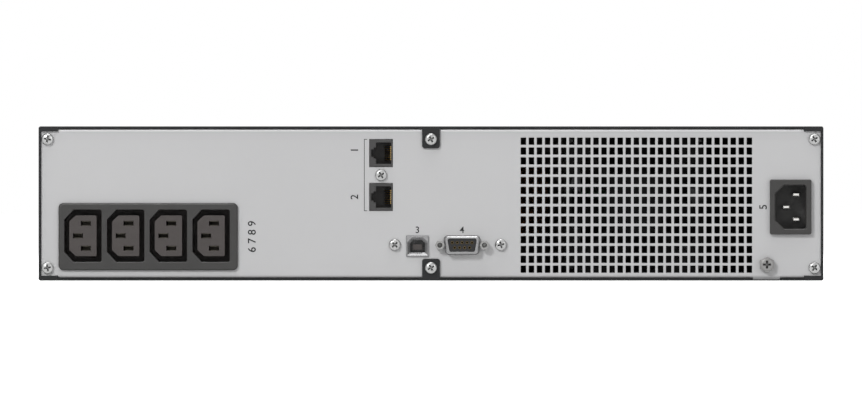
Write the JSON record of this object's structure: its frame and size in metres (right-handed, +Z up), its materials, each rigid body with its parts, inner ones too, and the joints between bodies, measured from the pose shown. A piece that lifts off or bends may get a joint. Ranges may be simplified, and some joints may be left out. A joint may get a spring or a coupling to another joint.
{
  "type": "rackmount ups",
  "caption": "Low rack-height uninterruptible power supply with rear outlets, inlet, surge jacks, data ports, fan grille and a front battery drawer.",
  "frame": {"origin": "middle of the whole object's box, on the base", "axes": "the rear panel faces -Y, the front moulding +Y; +X is to the right seen from the rear; +Z up"},
  "size_m": [0.44, 0.4188, 0.0865],
  "materials": {
    "black_steel": "black textured powder coat",
    "grey_panel": "light grey satin powder coat",
    "bright_screws": "bright zinc plate",
    "dull_steel": "dull nickel plate",
    "galvanised_steel": "bright galvanised sheet",
    "tin_plate": "tin-plated shell",
    "outlet_plastic": "fine-grained dark grey moulding",
    "core_plastic": "dark moulding",
    "inlet_plastic": "dark grey moulding",
    "jack_plastic": "dark grey moulding",
    "black_plastic": "black moulding",
    "bezel_plastic": "black textured moulding",
    "key_plastic": "grey satin moulding",
    "gold_contacts": "gold flash",
    "bright_contacts": "nickel-plated brass",
    "board": "green solder mask",
    "board_parts": "moulded components",
    "heatsink": "extruded",
    "iron_core": "varnished laminations",
    "copper_winding": "varnished copper wire",
    "sintered_bronze": "sintered bronze",
    "battery_case": "black ABS",
    "lead_plates": "lead plates, steel density standing in",
    "runner_plastic": "natural nylon",
    "display_glass": "smoked clear window",
    "display_panel": "liquid crystal module",
    "lever_red": "connector housing"
  },
  "bodies": {
    "case": {"chassis_tray": "black_steel", "top_cover": "black_steel", "rear_panel": "grey_panel", "rear_screws": "bright_screws", "earth_screw": "dull_steel", "cover_screws": "black_steel", "outlet_frame": "outlet_plastic", "outlet_cores": "core_plastic", "outlet_contacts": "bright_contacts", "inlet_body": "inlet_plastic", "inlet_pins": "bright_contacts", "surge_jack_out": "jack_plastic", "surge_jack_in": "jack_plastic", "surge_jack_contacts": "gold_contacts", "surge_board": "board", "surge_bracket": "galvanised_steel", "usb_shell": "tin_plate", "usb_tongue": "key_plastic", "serial_shell": "tin_plate", "serial_insulator": "black_plastic", "serial_contacts": "gold_contacts", "serial_standoffs": "dull_steel", "comm_board": "board", "comm_bracket": "galvanised_steel", "fan_frame": "black_plastic", "fan_bearing": "sintered_bronze", "fan_stator": "iron_core", "fan_bracket": "galvanised_steel", "inner_screws": "bright_screws", "tray_standoffs": "dull_steel", "ear_nuts": "dull_steel", "main_board": "board", "heatsinks": "heatsink", "power_transistors": "board_parts", "capacitors": "board_parts", "relays": "board_parts", "fuse": "board_parts", "transformer_core": "iron_core", "transformer_winding": "copper_winding", "transformer_clamp": "galvanised_steel", "battery_socket": "lever_red", "drawer_runners": "runner_plastic", "bezel": "bezel_plastic", "display_window": "display_glass", "display_module": "display_panel", "control_board": "board", "key_switches": "board_parts"},
    "fan_rotor": {"fan_impeller": "black_plastic", "fan_shaft": "dull_steel"},
    "drawer": {"battery_drawer": "galvanised_steel", "battery_fascia": "bezel_plastic", "battery_cases": "battery_case", "battery_plates": "lead_plates", "battery_terminals": "bright_contacts", "battery_plug": "lever_red"},
    "thumb_screw_l": {"thumb_screw_left": "dull_steel"},
    "thumb_screw_r": {"thumb_screw_right": "dull_steel"},
    "power_key": {"power_button": "key_plastic"},
    "select_key": {"key_select": "key_plastic"},
    "enter_key": {"key_enter": "key_plastic"}
  },
  "joints": [
    {"name": "fan_spin", "type": "hinge", "parent": "case", "child": "fan_rotor", "pos_m": [0.115, -0.1836, 0.04325], "axis": [0, 1, 0], "continuous": true},
    {"name": "drawer_slide", "type": "slide", "parent": "case", "child": "drawer", "axis": [0, 1, 0], "range_m": [0, 0.19]},
    {"name": "thumb_screw_left_turn", "type": "hinge", "parent": "drawer", "child": "thumb_screw_l", "pos_m": [-0.201, 0.2034, 0.04325], "axis": [0, 1, 0], "continuous": true},
    {"name": "thumb_screw_right_turn", "type": "hinge", "parent": "drawer", "child": "thumb_screw_r", "pos_m": [-0.031, 0.2034, 0.04325], "axis": [0, 1, 0], "continuous": true},
    {"name": "power_press", "type": "slide", "parent": "case", "child": "power_key", "axis": [0, -1, 0], "range_m": [0, 0.001], "stiffness_N_per_m": 300},
    {"name": "select_press", "type": "slide", "parent": "case", "child": "select_key", "axis": [0, -1, 0], "range_m": [0, 0.0007], "stiffness_N_per_m": 300},
    {"name": "enter_press", "type": "slide", "parent": "case", "child": "enter_key", "axis": [0, -1, 0], "range_m": [0, 0.0007], "stiffness_N_per_m": 300}
  ]
}
